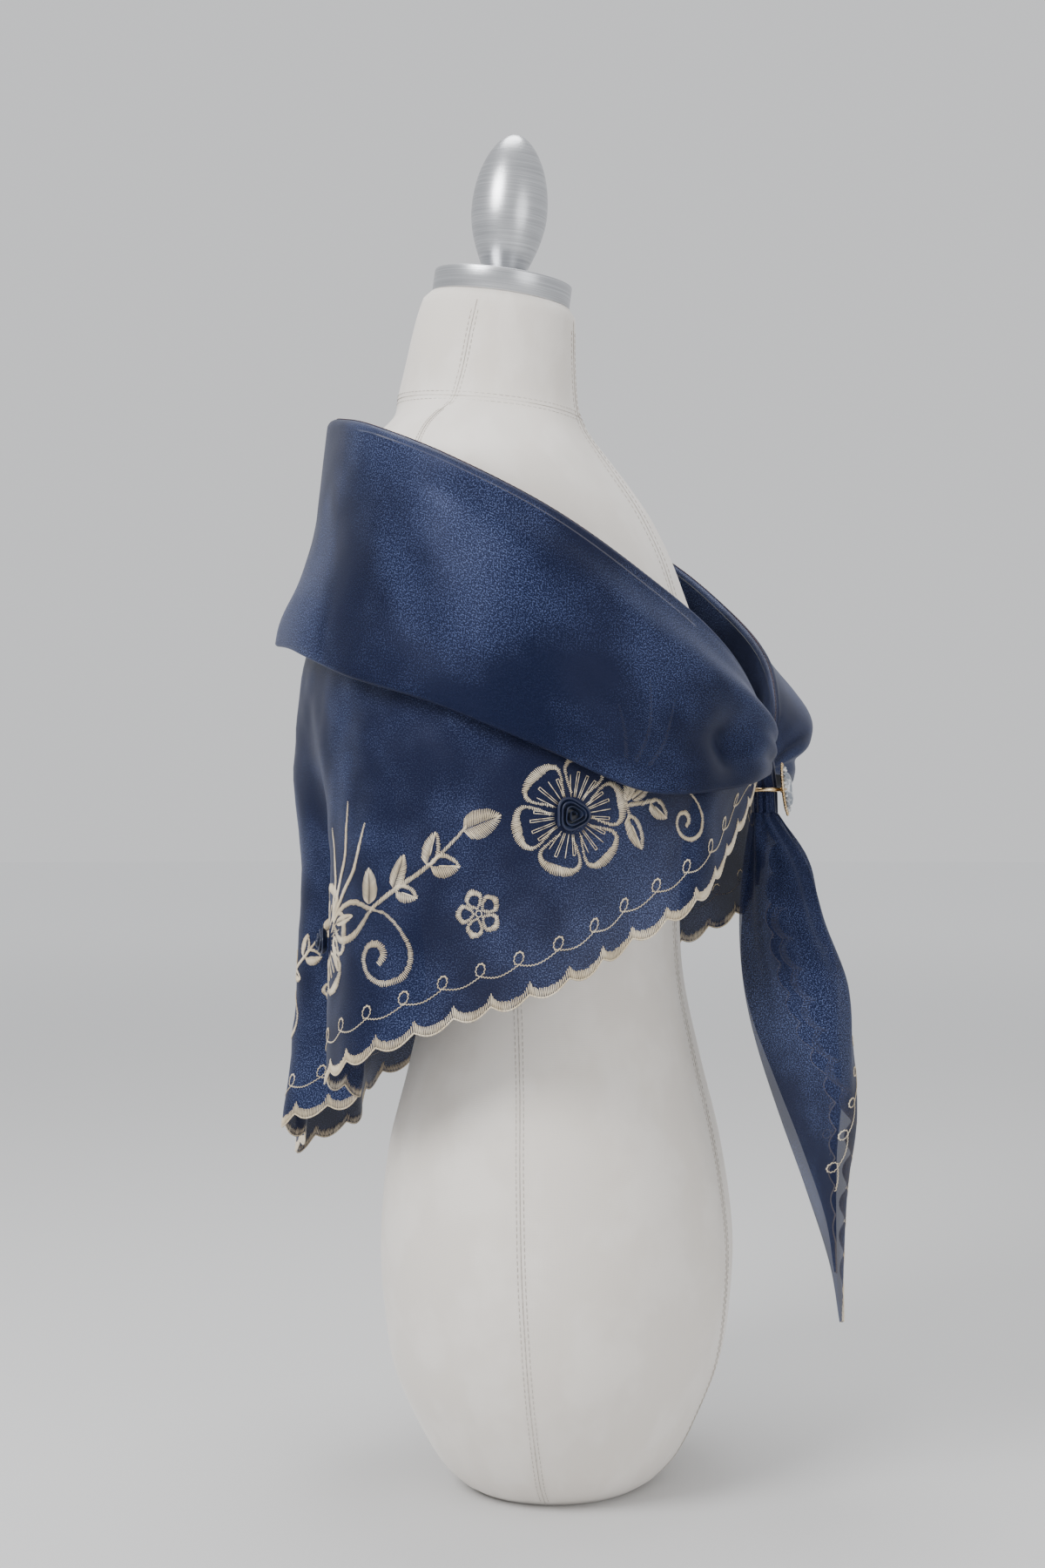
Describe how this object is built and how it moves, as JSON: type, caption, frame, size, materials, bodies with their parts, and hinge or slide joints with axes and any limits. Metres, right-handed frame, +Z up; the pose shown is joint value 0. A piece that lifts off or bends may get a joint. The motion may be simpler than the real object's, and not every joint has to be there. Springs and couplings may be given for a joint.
{
  "type": "embroidered shawl on a dress form",
  "caption": "Triangular organza shawl with a folded collar, scalloped embroidered hem and a jewelled clip, worn on a limbless dress form.",
  "frame": {"origin": "middle of the dress form's flat base", "axes": "+Z up, -Y the wearer's front, -X the wearer's right"},
  "size_m": [0.4332, 0.424, 0.9706],
  "materials": {
    "jersey": "matte knit",
    "cap_metal": "brushed",
    "organza": "sheer, shot, with a soft sheen",
    "ribbon": "satin",
    "thread": "glossy embroidery thread",
    "clip_metal": "polished",
    "crystal": "faceted"
  },
  "bodies": {
    "root": {"form_torso": "jersey", "form_neck_cap": "cap_metal", "form_finial": "cap_metal", "shawl_panel": "organza", "shawl_collar": "organza", "shawl_gather": "organza", "shawl_tail_right": "organza", "shawl_tail_left": "organza", "rose_right_front": "ribbon", "rose_right_back": "ribbon", "rose_back": "ribbon", "rose_left_back": "ribbon", "rose_left_front": "ribbon", "clip_ring": "clip_metal", "clip_plate": "clip_metal", "clip_stone": "crystal"}
  },
  "joints": []
}
